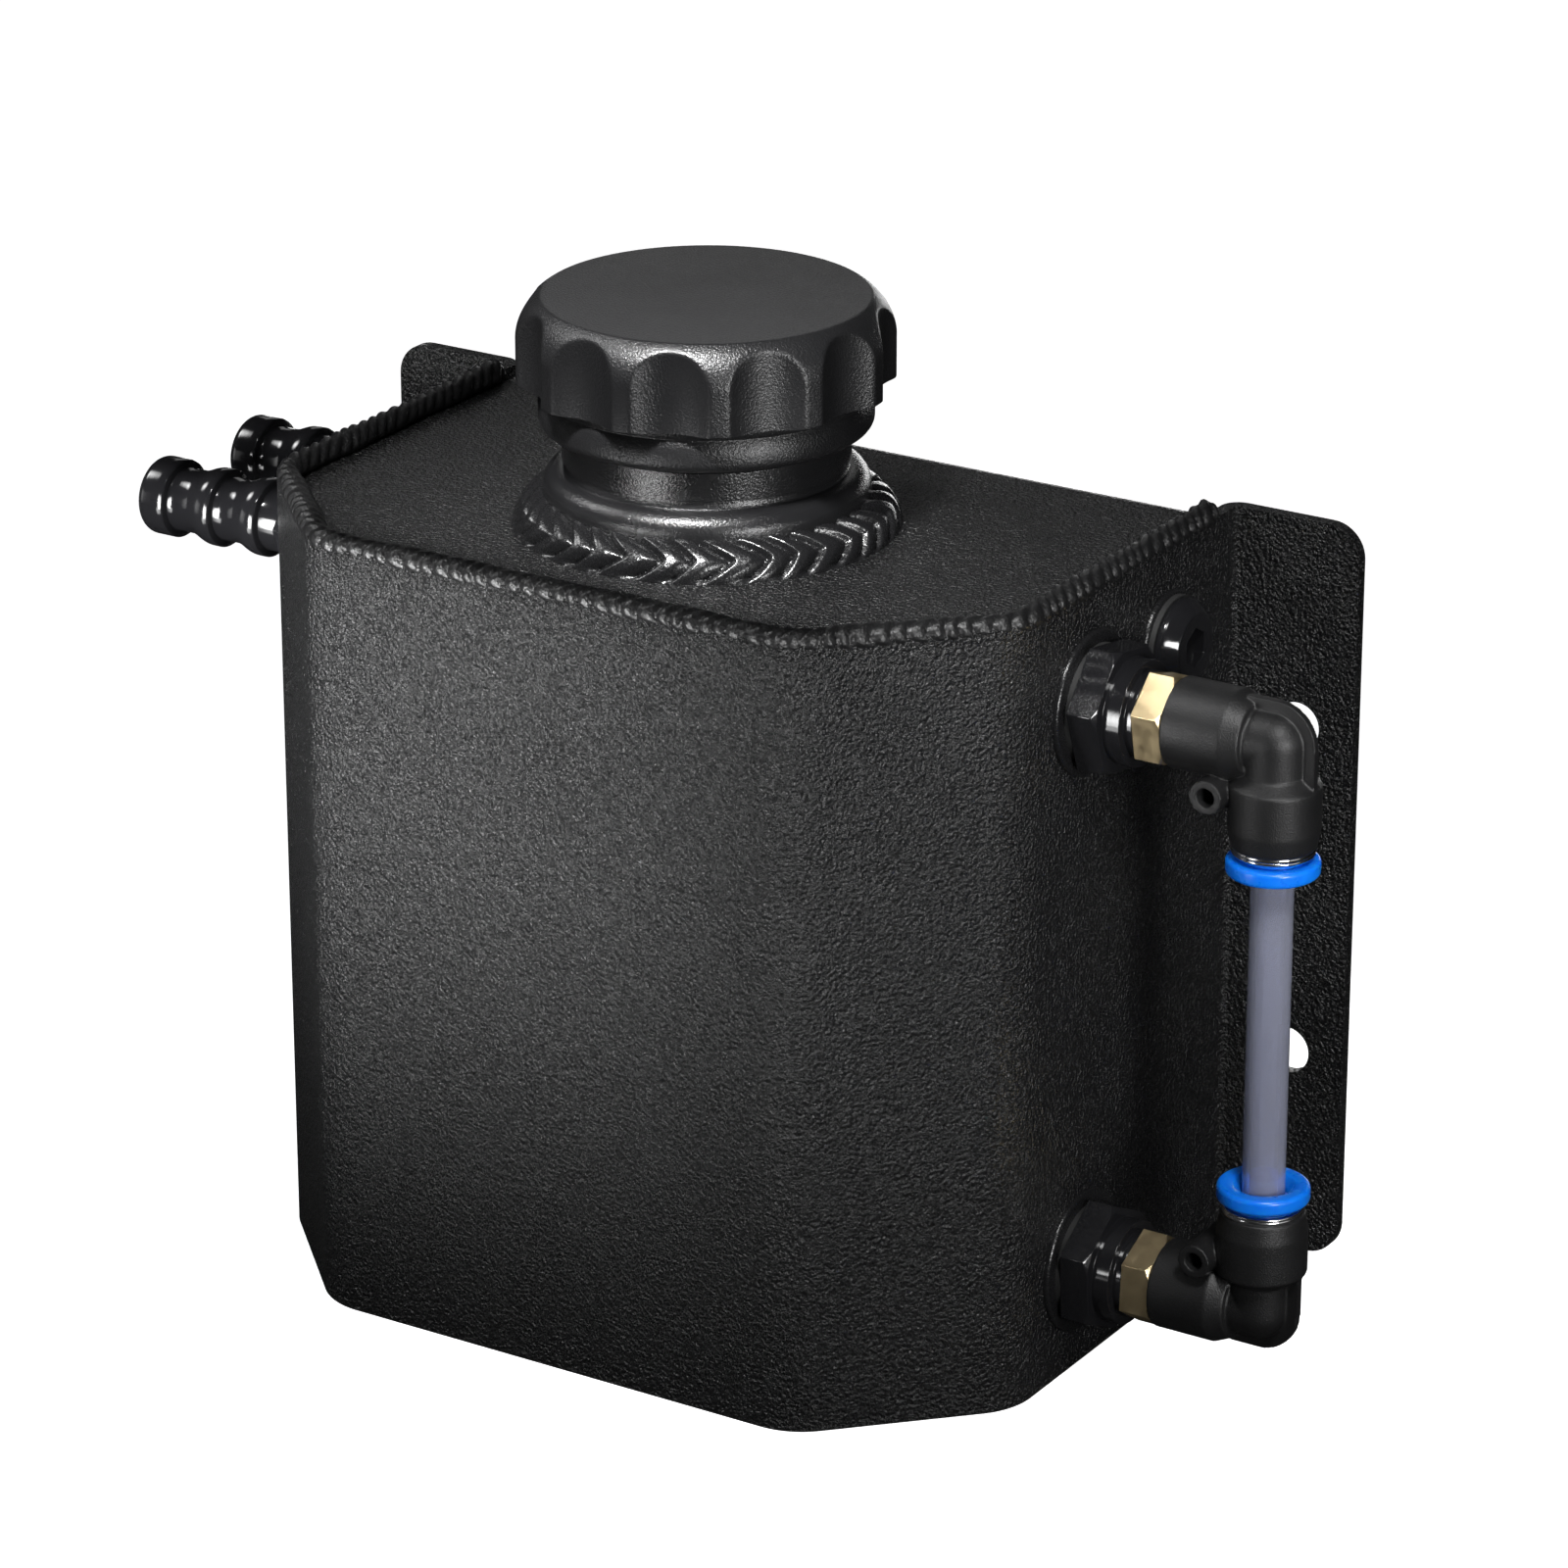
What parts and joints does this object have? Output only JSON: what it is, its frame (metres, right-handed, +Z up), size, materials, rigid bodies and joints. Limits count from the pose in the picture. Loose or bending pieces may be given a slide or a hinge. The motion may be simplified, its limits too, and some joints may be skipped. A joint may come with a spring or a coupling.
{
  "type": "fluid reservoir tank",
  "caption": "Wall-mounted folded-sheet fluid reservoir with a screw filler cap, side hose tails, a plugged spare port and a push-fit sight gauge.",
  "frame": {"origin": "middle of the four mounting holes, on the back face of the flanges", "axes": "+Y out of the flanges' back faces into the wall, so the tank's front faces -Y; +X towards the sight gauge; +Z up"},
  "size_m": [0.1892, 0.084, 0.1482],
  "materials": {
    "tank_coat": "satin black powder coat, fine orange peel",
    "weld_coat": "gloss black coat over stacked weld ripples",
    "black_anodised": "bead-blasted black anodised",
    "gloss_anodised": "turned, gloss black anodised",
    "brass": "turned and milled, fine machining lines",
    "elbow_plastic": "moulded, fine spark-eroded grain",
    "collar_plastic": "moulded bright blue",
    "tube_plastic": "clear with a faint violet tint",
    "stainless_steel": "bright rolled strip",
    "seal_rubber": "plain black"
  },
  "bodies": {
    "tank": {"wrap_shell": "tank_coat", "top_back_base_panel": "tank_coat", "top_seam_weld": "weld_coat", "rear_seam_welds": "weld_coat", "filler_neck": "black_anodised", "neck_weld": "weld_coat", "upper_gauge_bung": "tank_coat", "lower_gauge_bung": "tank_coat", "spare_port_bung": "tank_coat", "front_hose_bung": "tank_coat", "rear_hose_bung": "tank_coat", "upper_gauge_adapter": "gloss_anodised", "lower_gauge_adapter": "gloss_anodised", "upper_adapter_washer": "seal_rubber", "lower_adapter_washer": "seal_rubber", "upper_elbow_stem": "brass", "lower_elbow_stem": "brass", "upper_elbow": "elbow_plastic", "lower_elbow": "elbow_plastic", "upper_stem_seal": "seal_rubber", "lower_stem_seal": "seal_rubber", "upper_tube_seal": "seal_rubber", "lower_tube_seal": "seal_rubber", "upper_grip_ring": "stainless_steel", "lower_grip_ring": "stainless_steel", "upper_retaining_ring": "stainless_steel", "lower_retaining_ring": "stainless_steel", "sight_tube": "tube_plastic", "spare_port_plug": "gloss_anodised", "spare_plug_washer": "seal_rubber", "front_hose_tail": "gloss_anodised", "rear_hose_tail": "gloss_anodised", "front_tail_washer": "seal_rubber", "rear_tail_washer": "seal_rubber"},
    "cap_seal": {"cap_gasket": "seal_rubber"},
    "cap": {"filler_cap": "black_anodised"},
    "upper_collar": {"upper_release_collar": "collar_plastic"},
    "lower_collar": {"lower_release_collar": "collar_plastic"}
  },
  "joints": [
    {"name": "cap_lift", "type": "slide", "parent": "tank", "child": "cap_seal", "axis": [0, 0, 1], "range_m": [0, 0.012]},
    {"name": "cap_turn", "type": "hinge", "parent": "cap_seal", "child": "cap", "pos_m": [0, -0.043, 0.07], "axis": [0, 0, 1], "range_deg": [0, 1440]},
    {"name": "upper_collar_press", "type": "slide", "parent": "tank", "child": "upper_collar", "axis": [0, 0, 1], "range_m": [0, 0.0006], "stiffness_N_per_m": 800},
    {"name": "lower_collar_press", "type": "slide", "parent": "tank", "child": "lower_collar", "axis": [0, 0, -1], "range_m": [0, 0.0006], "stiffness_N_per_m": 800}
  ],
  "couplings": [
    {"joint": "cap_turn", "follows": "cap_lift", "rad_per_m": 2094.4}
  ]
}
